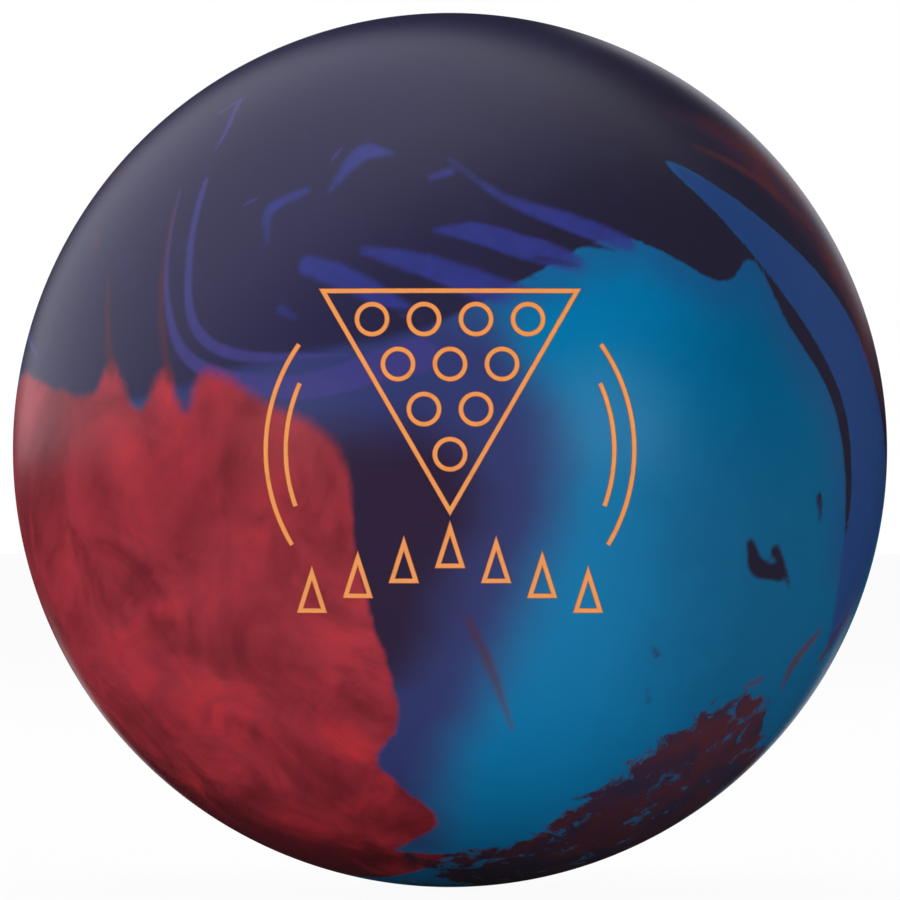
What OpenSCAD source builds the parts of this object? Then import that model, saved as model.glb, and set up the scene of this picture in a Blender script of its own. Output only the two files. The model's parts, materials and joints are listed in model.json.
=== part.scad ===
// Drilled ten-pin bowling ball: a cast cover over a filler sphere and a weight block,
// two finger inserts, a quick-change thumb sleeve and an engraved, resin-filled emblem.
// Origin at the ball's centre, +Z up, the emblem faces -Y, millimetres throughout.

/* [Ball] */
// Diameter of the finished ball
ball_d = 217.2; // [181:0.2:261]
// Thickness of the cast cover
cover_t = 20; // [16:0.5:24]

/* [Weight block] */
// Height of the weight block along the pin axis
core_h = 112; // [94:1:134]
// Diameter of its dome
core_d = 80; // [67:1:90]
// Diameter of its foot
foot_d = 56; // [47:1:66]
// Long width of the side flange
flange_w = 104; // [92:1:124]
// Short width of the side flange
flange_d = 88; // [82:1:90]
// Thickness of the side flange
flange_t = 26; // [22:1:31]
// Diameter of the dense heart
heart_d = 44; // [36:1:52]
// Height of the dense heart
heart_h = 36; // [30:1:43]

/* [Markers] */
// Diameter of the locator pin
pin_d = 12; // [10:0.5:14.5]
// Diameter of the mass bias plug
bias_d = 6.4; // [5:0.2:7.8]
// Depth of the mass bias plug
bias_depth = 9; // [7.5:0.5:11]
// Diameter of the balance point dot
dot_d = 3.2; // [2.6:0.1:4]
// Depth of the balance point dot
dot_depth = 1; // [0.8:0.1:1.2]

/* [Grip] */
// Distance from finger bores to thumb bore, edge to edge over the surface
span = 110; // [92:1:122]
// Width of the bridge between the finger holes
bridge = 8; // [6.5:0.5:10]
// Distance of the thumb axis from the ball's centre
thumb_pitch = 3; // [0:0.5:6]
// Distance of a finger axis from the ball's centre, away from the thumb
finger_pitch = 3; // [0:0.5:6]
// Distance of a finger axis from the ball's centre, away from the other finger
side_pitch = 9; // [7.5:0.5:11]

/* [Finger inserts] */
// Diameter of the drilled finger holes
insert_hole_d = 24.6; // [20.6:0.1:29.6]
// Depth of the drilled finger holes
finger_depth = 40; // [36:1:44]
// Length of an insert
insert_len = 32; // [27:1:35]
// Bore of the middle finger's insert
middle_bore_d = 17.8; // [15:0.1:18.6]
// Bore of the ring finger's insert
ring_bore_d = 18.6; // [15.6:0.1:18.6]
// Chamfer at the mouth of an insert
insert_chamfer = 1.4; // [1.2:0.1:1.7]

/* [Thumb sleeve] */
// Diameter of the drilled thumb hole
thumb_hole_d = 38.1; // [36.5:0.1:45.8]
// Wall of the outer sleeve
sleeve_wall = 1.75; // [1.5:0.05:2.1]
// Wall of the carrier that lifts out
carrier_wall = 1.1; // [0.9:0.05:1.3]
// Diameter of the thumb bore
thumb_bore_d = 24.6; // [20.5:0.1:26.4]
// Depth of the thumb bore
thumb_bore_depth = 50; // [42:1:60]
// Chamfer at the mouth of the thumb bore
thumb_chamfer = 1.8; // [1:0.1:2]
// Thickness of the slug under the bore
slug_floor = 3; // [2.5:0.5:3.5]
// Thickness of the carrier's floor
carrier_floor = 2.5; // [2:0.5:3]
// Thickness of the ledge that holds the lugs down
ledge_t = 4; // [3:0.5:5]
// How far the ledge stands in from the sleeve's bore
ledge_reach = 3; // [2.5:0.1:3.4]
// Thickness of a locking lug
lug_t = 4; // [3:0.5:5]
// How far a lug stands out from the boss
lug_reach = 2.2; // [1.9:0.1:2.3]
// Angle that a lug covers
lug_angle = 34; // [28:1:36]
// Thickness of the end cap
cap_t = 2; // [1.6:0.2:2.4]

/* [Emblem] */
// Width of an engraved line
line_w = 1.2; // [1:0.1:1.4]
// Depth of the engraving
groove_depth = 0.9; // [0.7:0.1:1.1]
// How far the filling lies below the surface
fill_recess = 0.12; // [0.08:0.02:0.2]
// Distance between neighbouring pin spots
spot_pitch = 12.4; // [10.4:0.2:14.8]
// Outer diameter of a pin spot
spot_d = 8.4; // [7:0.2:9.2]
// Sideways distance between neighbouring lane arrows
arrow_pitch = 11; // [9.5:0.5:13]
// Length of a lane arrow
arrow_h = 9; // [7.5:0.5:10.5]
// Radius of the outer side arcs
arc_r = 44; // [37:1:52]
// Angle that the outer side arcs cover
arc_angle = 66; // [55:1:79]

/* [Clearances] */
// Glue line around a bonded piece, on the radius
glue_gap = 0.1; // [0.05:0.01:0.12]
// Running gap around a piece that moves, on the radius
run_gap = 0.15; // [0.12:0.01:0.2]
// Gap at the end of a piece that moves
end_gap = 0.3; // [0.2:0.05:0.4]
// Extra angle on each side of a lug in its slot
slot_slack = 2; // [1.5:0.5:3]

/* [Hidden] */
$fn = 64;
ball_fn = 256;

ball_r = ball_d / 2;
filler_r = ball_r - cover_t;
past = 6;       // how far a cutter runs past the surface it cuts

// The grip: its centre lies behind and above, and it is turned so that the thumb lies low and to one side.
grip_lon = 180;
grip_lat = 35;
grip_roll = 75;
finger_pair = insert_hole_d + bridge;
finger_bore_d = (middle_bore_d + ring_bore_d) / 2;
grip_length = span + (finger_bore_d + thumb_bore_d) / 2;
middle_at = [-finger_pair / 2, grip_length / 2];
ring_at = [finger_pair / 2, grip_length / 2];
thumb_at = [0, -grip_length / 2];
pin_at = [38, grip_length / 2 + 42];
bias_turn = 20;         // angle about the pin axis that takes the mass bias plug clear of the thumb hole
dot_from_pin = 70;      // along the surface, towards the mass bias plug

// Depths of the thumb parts under the surface, from the top of the stack down.
slug_end = thumb_bore_depth + slug_floor;
carrier_end = slug_end + carrier_floor;
ledge_top = carrier_end + end_gap;
ledge_end = ledge_top + ledge_t;
lug_top = ledge_end + end_gap;
lug_end = lug_top + lug_t;
ring_end = lug_end + end_gap;
cap_top = ring_end + end_gap;
sleeve_end = cap_top + cap_t;
thumb_depth = sleeve_end + glue_gap;

// Radii of the thumb parts, from the ball inwards.
sleeve_r = thumb_hole_d / 2 - glue_gap;
sleeve_bore_r = sleeve_r - sleeve_wall;
carrier_r = sleeve_bore_r - run_gap;
carrier_bore_r = carrier_r - carrier_wall;
slug_r = carrier_bore_r - glue_gap;
ledge_r = sleeve_bore_r - ledge_reach;
boss_r = ledge_r - 2 * run_gap;
lug_r = boss_r + lug_reach;
slot_r = lug_r + run_gap;
slot_angle = lug_angle + 2 * slot_slack;

// The weight block's levels along the pin axis, about the ball's centre.
dome_r = core_d / 2;
core_top = core_h / 2;
core_foot = -core_h / 2;
flange_top = flange_t / 2;
neck_z = core_top - dome_r;
foot_h = core_h / 4;

// ---- places on the ball ----

function surface_angle(arc) = arc / ball_r * 180 / PI;

// Turns +Z to point out of the ball at a longitude from the emblem and a latitude.
module on_ball(lon, lat) rotate([90 - lat, 0, lon]) children();

// Turns +Z to a place in the grip: x across it, y from its centre towards the fingers.
module on_grip(at)
    on_ball(grip_lon, grip_lat)
        rotate([0, 0, grip_roll])
            rotate([-surface_angle(at[1]), 0, 0])
                rotate([0, surface_angle(at[0]), 0])
                    children();

// Puts z = 0 on the surface and leans the axis so that it passes the centre at the pitches given.
module hole_axis(at, pitch_x, pitch_y)
    on_grip(at)
        translate([0, 0, ball_r])
            rotate([asin(pitch_y / ball_r), -asin(pitch_x / ball_r), 0])
                children();

module at_middle() hole_axis(middle_at, -side_pitch, finger_pitch) children();
module at_ring() hole_axis(ring_at, side_pitch, finger_pitch) children();
module at_thumb() hole_axis(thumb_at, 0, -thumb_pitch) children();
module at_pin() on_grip(pin_at) rotate([0, 0, bias_turn]) children();
module from_pin(arc) at_pin() rotate([surface_angle(arc), 0, 0]) children();
module at_bias() at_pin() rotate([90, 0, 0]) children();

// ---- shared shapes ----

module down_hole(r, depth) translate([0, 0, -depth]) cylinder(h = depth + past, r = r);

module tube(r, bore_r, top, end) {
    translate([0, 0, -end])
        difference() {
            cylinder(h = end - top, r = r);
            translate([0, 0, -past]) cylinder(h = end - top + 2 * past, r = bore_r);
        }
}

// A chamfer where a bore of radius r meets the ball's surface.
module mouth_chamfer(r, size)
    translate([0, 0, -size])
        cylinder(h = size + past, r1 = r, r2 = r + size + past);

// A pie slice of the given angle, centred on +X, for cutting lugs and slots.
module slice(angle, h) {
    reach = thumb_hole_d;
    linear_extrude(h)
        polygon([
            [0, 0],
            [reach * cos(angle / 2), -reach * sin(angle / 2)],
            [reach * cos(angle / 2), reach * sin(angle / 2)]
        ]);
}

module both_sides() for (turn = [0, 180]) rotate([0, 0, turn]) children();

module ball_solid(r) sphere(r = r, $fn = ball_fn);

// Every drilled hole, as a cutter for the cover, the filler and the weight block.
module drilling() {
    at_middle() down_hole(insert_hole_d / 2, finger_depth);
    at_ring() down_hole(insert_hole_d / 2, finger_depth);
    at_thumb() down_hole(thumb_hole_d / 2, thumb_depth);
}

// ---- emblem drawing, x to the right and y up ----

// A corner's place after a closed outline is moved inwards by a distance, outwards if it is negative.
function inset_corner(before, corner, after, distance) =
    let (
        to_before = (before - corner) / norm(before - corner),
        to_after = (after - corner) / norm(after - corner),
        middle = (to_before + to_after) / norm(to_before + to_after)
    )
    corner + middle * distance / abs(cross(middle, to_after));

function inset(points, distance) =
    let (count = len(points))
    [for (i = [0 : count - 1])
        inset_corner(points[(i + count - 1) % count], points[i], points[(i + 1) % count], distance)];

module closed_line(points)
    difference() {
        polygon(inset(points, -line_w / 2));
        polygon(inset(points, line_w / 2));
    }

// A line along a circle about the drawing's centre, between two angles less than 180 degrees apart.
module arc_line(r, from, to) {
    reach = 2 * r;
    middle = (from + to) / 2;
    intersection() {
        difference() {
            circle(r = r + line_w / 2);
            circle(r = r - line_w / 2);
        }
        polygon([
            [0, 0],
            reach * [cos(from), sin(from)],
            reach * [cos(middle), sin(middle)],
            reach * [cos(to), sin(to)]
        ]);
    }
}

deck_rows = 4;
row_step = spot_pitch * sin(60);
head_spot_y = -1;
deck_margin = spot_d / 2 + 2.6;
deck_bottom = head_spot_y - 2 * deck_margin;
deck_top = head_spot_y + (deck_rows - 1) * row_step + deck_margin;
deck_half_w = (deck_top - deck_bottom) * tan(30);
arrow_count = 7;
arrow_tip_y = deck_bottom - 4;
arrow_drop = 3.6;       // how much lower each arrow lies than its inner neighbour
arc_tilt = 2;           // angle of the side arcs' middles above level

module deck_frame_drawing()
    closed_line([[0, deck_bottom], [deck_half_w, deck_top], [-deck_half_w, deck_top]]);

module pin_spots_drawing()
    for (row = [0 : deck_rows - 1], place = [0 : row])
        translate([(place - row / 2) * spot_pitch, head_spot_y + row * row_step])
            difference() {
                circle(d = spot_d);
                circle(d = spot_d - 2 * line_w);
            }

module lane_arrows_drawing()
    for (i = [0 : arrow_count - 1]) {
        from_middle = i - (arrow_count - 1) / 2;
        tip = [from_middle * arrow_pitch, arrow_tip_y - abs(from_middle) * arrow_drop];
        closed_line([tip, tip + [arrow_h * 0.32, -arrow_h], tip + [-arrow_h * 0.32, -arrow_h]]);
    }

module side_arcs_drawing(middle) {
    arc_line(arc_r, middle - arc_angle / 2, middle + arc_angle / 2);
    arc_line(arc_r - 4 * line_w, middle - arc_angle / 3, middle + arc_angle / 3);
}

module left_arcs_drawing() side_arcs_drawing(180 - arc_tilt);
module right_arcs_drawing() side_arcs_drawing(arc_tilt);

// The drawing cut into the ball's front, down to a shell of radius r.
module engraved(r)
    difference() {
        on_ball(0, 0) linear_extrude(ball_r + past) children();
        ball_solid(r);
    }

// The filling of an engraved drawing.
module filling()
    intersection() {
        engraved(ball_r - groove_depth) children();
        ball_solid(ball_r - fill_recess);
    }

// ---- cast parts ----

module coverstock()
    color("#1f3a6e")
        difference() {
            ball_solid(ball_r);
            ball_solid(filler_r);
            drilling();
            at_pin() cylinder(h = ball_r + past, d = pin_d);
            at_bias() translate([0, 0, ball_r - bias_depth]) cylinder(h = bias_depth + past, d = bias_d);
            from_pin(dot_from_pin) translate([0, 0, ball_r - dot_depth]) cylinder(h = dot_depth + past, d = dot_d);
            engraved(ball_r - groove_depth) {
                deck_frame_drawing();
                pin_spots_drawing();
                lane_arrows_drawing();
                left_arcs_drawing();
                right_arcs_drawing();
            }
        }

module weight_block_form(grow = 0) {
    // dome and neck
    translate([0, 0, neck_z]) sphere(r = dome_r + grow);
    translate([0, 0, core_foot + foot_h])
        cylinder(h = neck_z - core_foot - foot_h, r1 = foot_d / 2 + grow, r2 = dome_r * 0.96 + grow);
    // foot
    translate([0, 0, core_foot - grow]) cylinder(h = foot_h + 1 + grow, r = foot_d / 2 + grow);
    // side flange, with two flats
    intersection() {
        translate([0, 0, -flange_top - grow]) cylinder(h = flange_t + 2 * grow, d = flange_w + 2 * grow);
        cube([flange_d + 2 * grow, flange_w + past, core_h], center = true);
    }
}

module heart_form(grow = 0) cylinder(h = heart_h + 2 * grow, d = heart_d + 2 * grow, center = true);

module outer_core()
    color("#c9bfa4")
        difference() {
            ball_solid(filler_r);
            at_pin() {
                weight_block_form();
                cylinder(h = ball_r, d = pin_d);
            }
            drilling();
        }

module weight_block()
    color("#b23a2e")
        difference() {
            at_pin() weight_block_form();
            at_pin() heart_form();
            drilling();
        }

module weight_block_heart() color("#5d6167") at_pin() heart_form();

module core_pin()
    color("#e8e2d0")
        at_pin()
            difference() {
                cylinder(h = ball_r, d = pin_d);
                translate([0, 0, neck_z]) sphere(r = dome_r);
                translate([0, 0, -past]) cylinder(h = neck_z + past, d = pin_d + past);
                difference() {
                    cylinder(h = ball_r + past, d = pin_d + past);
                    ball_solid(filler_r);
                }
            }

module locator_pin()
    color("#e2572b")
        intersection() {
            at_pin() cylinder(h = ball_r + past, d = pin_d);
            difference() {
                ball_solid(ball_r);
                ball_solid(filler_r);
            }
        }

module mass_bias_plug()
    color("#e9b23a")
        intersection() {
            at_bias() translate([0, 0, ball_r - bias_depth]) cylinder(h = bias_depth + past, d = bias_d);
            ball_solid(ball_r);
        }

module balance_dot()
    color("#f2efe6")
        intersection() {
            from_pin(dot_from_pin) translate([0, 0, ball_r - dot_depth]) cylinder(h = dot_depth + past, d = dot_d);
            ball_solid(ball_r - fill_recess);
        }

// ---- emblem fillings ----

module emblem_deck_frame() color("#f49a52") filling() deck_frame_drawing();
module emblem_pin_spots() color("#f49a52") filling() pin_spots_drawing();
module emblem_lane_arrows() color("#f49a52") filling() lane_arrows_drawing();
module emblem_left_arcs() color("#f49a52") filling() left_arcs_drawing();
module emblem_right_arcs() color("#f49a52") filling() right_arcs_drawing();

// ---- finger inserts ----

module finger_insert(bore_d)
    difference() {
        down_hole(insert_hole_d / 2 - glue_gap, insert_len);
        translate([0, 0, -past]) down_hole(bore_d / 2, insert_len);
        mouth_chamfer(bore_d / 2, insert_chamfer);
    }

module middle_finger_insert()
    color("#3b2a5c")
        intersection() {
            at_middle() finger_insert(middle_bore_d);
            ball_solid(ball_r);
        }

module ring_finger_insert()
    color("#3b2a5c")
        intersection() {
            at_ring() finger_insert(ring_bore_d);
            ball_solid(ball_r);
        }

// ---- quick-change thumb sleeve ----

// A ring with two slots that let the lugs through.
module slotted_ring(r, bore_r, top, end)
    difference() {
        tube(r, bore_r, top, end);
        intersection() {
            tube(slot_r, bore_r - past, top - 1, end + 1);
            both_sides() translate([0, 0, -end - 1]) slice(slot_angle, end - top + 2);
        }
    }

module thumb_outer_sleeve()
    color("#17181b")
        intersection() {
            at_thumb() {
                tube(sleeve_r, sleeve_bore_r, -past, cap_top);
                slotted_ring(sleeve_bore_r + sleeve_wall / 2, ledge_r, ledge_top, ledge_end);
            }
            ball_solid(ball_r);
        }

module thumb_sleeve_cap()
    color("#26282c")
        at_thumb() translate([0, 0, -sleeve_end]) cylinder(h = cap_t, r = sleeve_r);

module thumb_lock_ring()
    color("#d8d2c0")
        at_thumb() slotted_ring(carrier_r, ledge_r, lug_top, ring_end);

module thumb_carrier()
    color("#8c9096")
        intersection() {
            at_thumb() {
                tube(carrier_r, carrier_bore_r, -past, slug_end);
                translate([0, 0, -carrier_end]) cylinder(h = carrier_floor, r = carrier_r);
                translate([0, 0, -lug_end]) cylinder(h = lug_end - carrier_end, r = boss_r);
                translate([0, 0, -lug_end])
                    intersection() {
                        cylinder(h = lug_t, r = lug_r);
                        both_sides() slice(lug_angle, lug_t);
                    }
            }
            ball_solid(ball_r);
        }

module thumb_slug()
    color("#14406b")
        intersection() {
            at_thumb()
                difference() {
                    down_hole(slug_r, slug_end);
                    down_hole(thumb_bore_d / 2, thumb_bore_depth);
                    mouth_chamfer(thumb_bore_d / 2, thumb_chamfer);
                }
            ball_solid(ball_r);
        }

coverstock();
outer_core();
weight_block();
weight_block_heart();
core_pin();
locator_pin();
mass_bias_plug();
balance_dot();
emblem_deck_frame();
emblem_pin_spots();
emblem_lane_arrows();
emblem_left_arcs();
emblem_right_arcs();
middle_finger_insert();
ring_finger_insert();
thumb_outer_sleeve();
thumb_sleeve_cap();
thumb_lock_ring();
thumb_carrier();
thumb_slug();
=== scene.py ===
"""A drilled bowling ball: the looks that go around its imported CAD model.

Every Operator below makes one piece or one group of like pieces, and the panel in the 3D view's sidebar
lists them. Lengths in the settings and outlines are in millimetres and angles in degrees, unless a
property's unit says otherwise. Meshes are in metres.
"""

import json
import math

import bmesh
import bpy
import numpy as np
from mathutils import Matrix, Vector


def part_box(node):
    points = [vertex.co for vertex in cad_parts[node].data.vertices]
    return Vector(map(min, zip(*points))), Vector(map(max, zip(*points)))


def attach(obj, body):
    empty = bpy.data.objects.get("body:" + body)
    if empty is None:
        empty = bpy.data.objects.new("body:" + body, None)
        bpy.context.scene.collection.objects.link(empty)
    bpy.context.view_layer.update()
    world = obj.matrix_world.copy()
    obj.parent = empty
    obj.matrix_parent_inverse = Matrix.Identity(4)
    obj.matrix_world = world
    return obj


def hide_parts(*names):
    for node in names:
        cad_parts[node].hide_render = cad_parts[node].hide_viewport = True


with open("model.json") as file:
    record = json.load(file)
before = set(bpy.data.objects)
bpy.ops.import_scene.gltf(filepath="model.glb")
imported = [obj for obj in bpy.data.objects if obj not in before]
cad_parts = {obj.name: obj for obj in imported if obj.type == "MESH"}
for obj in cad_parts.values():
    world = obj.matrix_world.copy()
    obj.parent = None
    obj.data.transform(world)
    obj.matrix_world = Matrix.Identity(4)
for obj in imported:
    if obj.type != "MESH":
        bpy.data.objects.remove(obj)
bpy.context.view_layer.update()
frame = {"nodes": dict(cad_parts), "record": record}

bl_info = {
    "name": "Bowling Ball",
    "version": (1, 0, 0),
    "blender": (4, 5, 0),
    "location": "View3D > Sidebar > Ball",
    "description": "Cover, emblem enamel, finger inserts and thumb slug of a drilled bowling ball",
    "category": "Object",
}

MM = 0.001

# ---- what the frame says ------------------------------------------------------------------------

COVER_LOW, COVER_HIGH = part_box("coverstock")
BALL_R = (COVER_HIGH.z - COVER_LOW.z) / 2
FILLER_R = (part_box("outer_core")[1].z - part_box("outer_core")[0].z) / 2
MOUNTS = {mount["name"]: mount for mount in frame["record"]["mounts"]}


def unit(vector):
    return np.asarray(vector, float) / np.linalg.norm(vector)


def middle_direction(node):
    """The way out of the ball through the middle of a small node near its surface."""
    low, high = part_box(node)
    return unit((low + high) / 2)


class Hole:
    """A round hole's own axes: `out` along it, `across` and `along` square to it, z = 0 on the ball."""

    def __init__(self, start, out):
        self.out = unit(out)
        start = np.asarray(start, float)
        climb = -(start @ self.out) + math.sqrt((start @ self.out) ** 2 - start @ start + BALL_R**2)
        self.mouth = start + climb * self.out
        self.across = unit(np.cross((0.0, 0.0, 1.0), self.out))
        self.along = np.cross(self.out, self.across)

    def point(self, radius, angle, height):
        """A point in the row frame from cylindrical coordinates about the hole."""
        side = np.cos(angle)[..., None] * self.across + np.sin(angle)[..., None] * self.along
        return self.mouth + radius[..., None] * side + height[..., None] * self.out

    def surface_height(self, radius, angle):
        """How far the ball's surface stands above the mouth's middle, over a point of the hole's section."""
        flat = self.point(radius, angle, np.zeros_like(radius))
        reach = flat @ self.out
        return np.sqrt(reach**2 - np.sum(flat * flat, axis=-1) + BALL_R**2) - reach


def mount_hole(name):
    return Hole(MOUNTS[name]["pos_m"], MOUNTS[name]["axis"])


MIDDLE_HOLE = mount_hole("middle_finger_bore")
RING_HOLE = mount_hole("ring_finger_bore")
THUMB_HOLE = mount_hole("thumb_bore")


def bore_radius(name):
    return MOUNTS[name]["dims"]["r_mm"] * MM


def radial_reach(node, hole):
    """The largest distance of a node's points from a hole's axis."""
    points = vertex_array(frame["nodes"][node].data)
    offset = points - hole.mouth
    return float(np.linalg.norm(np.cross(offset, hole.out), axis=1).max())


def depth_reach(node, hole):
    """The deepest that a node goes below a hole's mouth."""
    points = vertex_array(frame["nodes"][node].data)
    return float(-((points - hole.mouth) @ hole.out).min())


def vertex_array(mesh):
    flat = np.zeros(len(mesh.vertices) * 3, np.float32)
    mesh.vertices.foreach_get("co", flat)
    return flat.reshape(-1, 3).astype(float)


# ---- settings -----------------------------------------------------------------------------------


def srgb(red, green, blue):
    """A linear colour from 8-bit sRGB values."""

    def linear(value):
        value /= 255
        return value / 12.92 if value <= 0.04045 else ((value + 0.055) / 1.055) ** 2.4

    return (linear(red), linear(green), linear(blue))


def colour(name, description, *rgb):
    return bpy.props.FloatVectorProperty(
        name=name, description=description, subtype="COLOR", size=3, min=0, max=1, default=srgb(*rgb)
    )


def length(name, description, default_mm):
    return bpy.props.FloatProperty(
        name=name, description=description, unit="LENGTH", min=0, default=default_mm * MM, precision=5
    )


def count(name, description, default, smallest=1):
    return bpy.props.IntProperty(name=name, description=description, min=smallest, default=default)


class CoverSettings(bpy.types.PropertyGroup):
    divisions: count("Divisions", "Squares along an edge of the cube that the sphere is made from", 114, 8)
    grading: bpy.props.FloatProperty(
        name="Grading", description="How much finer the mesh is at the emblem", min=1, max=2, default=1.3
    )
    charcoal: colour("Charcoal", "The dark resin", 40, 37, 56)
    indigo: colour("Indigo", "The dark resin where it is clearer", 46, 43, 78)
    teal: colour("Teal", "The teal resin", 0, 124, 178)
    teal_deep: colour("Deep teal", "The teal resin where it is thick", 0, 94, 139)
    blue: colour("Blue", "The band between the teal and the dark", 38, 66, 126)
    plum: colour("Plum", "Where the dark and the red resins blend", 50, 36, 64)
    slate: colour("Slate", "Where the plum blends into the teal", 54, 62, 116)
    violet: colour("Violet", "Streaks drawn into the dark resin", 68, 64, 134)
    cobalt: colour("Cobalt", "Clear blue streaks between the dark and the teal", 54, 60, 136)
    crimson: colour("Crimson", "The red pearl resin", 168, 50, 62)
    crimson_deep: colour("Deep crimson", "The red resin between the pearl clouds", 108, 26, 38)
    crimson_bright: colour("Bright crimson", "The brightest pearl", 212, 54, 64)
    maroon: colour("Maroon", "Where the red is worked into the dark", 84, 42, 54)
    maroon_dark: colour("Dark maroon", "The darkest of the worked resin", 56, 44, 68)
    rust: colour("Rust", "Thin brown-red streaks near the edge of the dark", 92, 44, 48)


class EmblemSettings(bpy.types.PropertyGroup):
    line_width: length("Line width", "Width of an enamelled line", 1.2)
    groove_depth: length("Groove depth", "Depth of the engraving", 0.9)
    recess: length("Recess", "How far the enamel's middle lies below the surface", 0.12)
    meniscus: length("Meniscus", "How far the enamel climbs the groove's walls", 0.08)
    chamfer: length("Chamfer", "Softened edge of the groove", 0.08)
    spot_pitch: length("Spot pitch", "Distance between neighbouring pin spots", 12.4)
    spot_width: length("Spot width", "Outer diameter of a pin spot", 8.4)
    head_spot_height: length("Head spot", "How far the lowest pin spot lies below the emblem's middle", 1.0)
    frame_margin: length("Frame margin", "From a corner spot's middle to the deck frame", 6.8)
    arrow_pitch: length("Arrow pitch", "Sideways distance between neighbouring lane arrows", 11.0)
    arrow_height: length("Arrow height", "Length of a lane arrow", 9.0)
    arrow_gap: length("Arrow gap", "From the deck frame to the middle arrow", 4.0)
    arrow_drop: length("Arrow drop", "How much lower each arrow lies than its inner neighbour", 3.6)
    arc_radius: length("Arc radius", "Radius of the outer side arcs", 44.0)
    enamel: colour("Enamel", "The emblem's filling", 252, 164, 90)
    # the edge colour is partly thinner enamel and partly painted shade of the groove's walls
    enamel_edge: colour("Enamel edge", "The filling where it is thin, along its edges", 196, 92, 42)


class GripSettings(bpy.types.PropertyGroup):
    segments: count("Segments", "Points around a bore", 96, 24)
    insert: colour("Insert", "Soft vinyl of the finger inserts", 54, 40, 92)
    slug: colour("Slug", "Urethane of the thumb slug", 22, 62, 104)
    slug_swirl: colour("Slug swirl", "Lighter streaks in the urethane", 40, 104, 150)
    rib_count: count("Ribs", "Moulded ribs inside a finger insert", 24, 4)
    rib_length: length("Rib length", "Length of a rib", 20.0)
    rib_width: length("Rib width", "Width of a rib", 0.9)
    rib_height: length("Rib height", "How far a rib stands out of the bore's wall", 0.3)


class StageSettings(bpy.types.PropertyGroup):
    camera_distance: bpy.props.FloatProperty(
        name="Camera distance", description="From the ball's centre", unit="LENGTH", default=2.5
    )
    limb_share: bpy.props.FloatProperty(
        name="Ball's share", description="Of the view's width", min=0.1, max=1, default=0.9715
    )
    floor_size: bpy.props.FloatProperty(
        name="Floor", description="Side of the floor", unit="LENGTH", default=16.0
    )


# ---- the swirl in the cover ---------------------------------------------------------------------
#
# A place on the ball is (longitude, latitude) in degrees. Longitude 0 is the emblem's middle and grows to
# the right as one faces it, latitude grows upwards. An outline keeps its inside on the left of its
# direction of travel as seen from outside the ball.

# The dark tongue and the blue band meet along one edge, and the band's other edge is the dark cap's again.
TONGUE_EDGE = [(65, -12), (63, 5), (50, 24), (39, 40)]
BAND_EDGE = [(56, 30), (72, 16), (82, 0)]
DARK_CAP = [
    (-65, 5), (-45, 6), (-25, 11), (-5, 15), (10, 22), (25, 28), (40, 22), (48, 25), (52, 16), (60, 5),
    *TONGUE_EDGE, *BAND_EDGE,
    (99, -24), (108, -8), (130, 7), (147, -9), (165, -40), (182, -3), (203, 2), (221, -27), (241, 4),
    (262, 13), (286, 6),
]
RED_MASS = [
    (-1, -66), (-16, -64), (-3, -56), (-10, -48), (-13, -43), (-8, -35), (-12, -15), (-14, 0), (-24, 6),
    (-33, 10), (-36, 5), (-40, 10), (-44, 5), (-50, 11), (-54, 7), (-65, 8), (-80, 10), (-92, 5), (-104, 10),
    (-136, -22), (-158, -44), (-120, -66), (-80, -74), (-40, -76),
]
MAROON_BAND = [
    (-14, -66), (10, -80), (50, -82), (90, -76), (92, -60), (86, -48), (68, -40), (52, -33), (40, -40),
    (30, -49), (20, -62), (0, -66),
]
PLUM_CORE = [(-20, -32), (-6, -30), (0, -18), (4, -6), (0, 2), (-16, 3), (-50, 0), (-56, -20), (-40, -34)]
SLATE_ZONE = [
    (-10, -64), (0, -46), (8, -30), (14, -12), (14, 4), (5, 18), (-14, 22), (-50, 4), (-56, -20), (-46, -44),
]
RUST_LIMB = [(50, 48), (65, 34), (73, 18), (80, 7), (94, -2), (98, 8), (88, 30), (64, 46)]
BLUE_BAND = [(66, -16), (73, -27), (80, -20), *reversed(BAND_EDGE), *reversed(TONGUE_EDGE)]

# Each stroke is its places and its half-widths in millimetres from one end to the other.
DARK_STROKES = [
    ([(2, 32), (13, 29), (24, 26)], (2.4, 2.3, 0.1)),
    ([(0, 27), (6, 25), (12, 22)], (1.6, 2.0, 0.1)),
    ([(12, 25), (18, 24)], (0.5, 0.1)),
    ([(-5, 22), (4, 19)], (1.4, 0.1)),
    ([(-14, 17), (-2, 18)], (1.8, 0.1)),
    ([(43, -12), (45, -15), (50, -16)], (1.2, 2.4, 1.8)),
    ([(48, -13), (53, -18)], (1.6, 0.3)),
    ([(56, -6), (57, -9)], (0.9, 0.5)),
    ([(30, -26), (31, -27)], (0.3, 0.5)),
    ([(31, -32), (32, -34)], (0.3, 0.4)),
    ([(96, -18), (118, -40), (122, -54)], (1.2, 2.8, 0.3)),
    ([(150, -24), (158, -34), (170, -40)], (0.6, 3.2, 0.4)),
]
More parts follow.
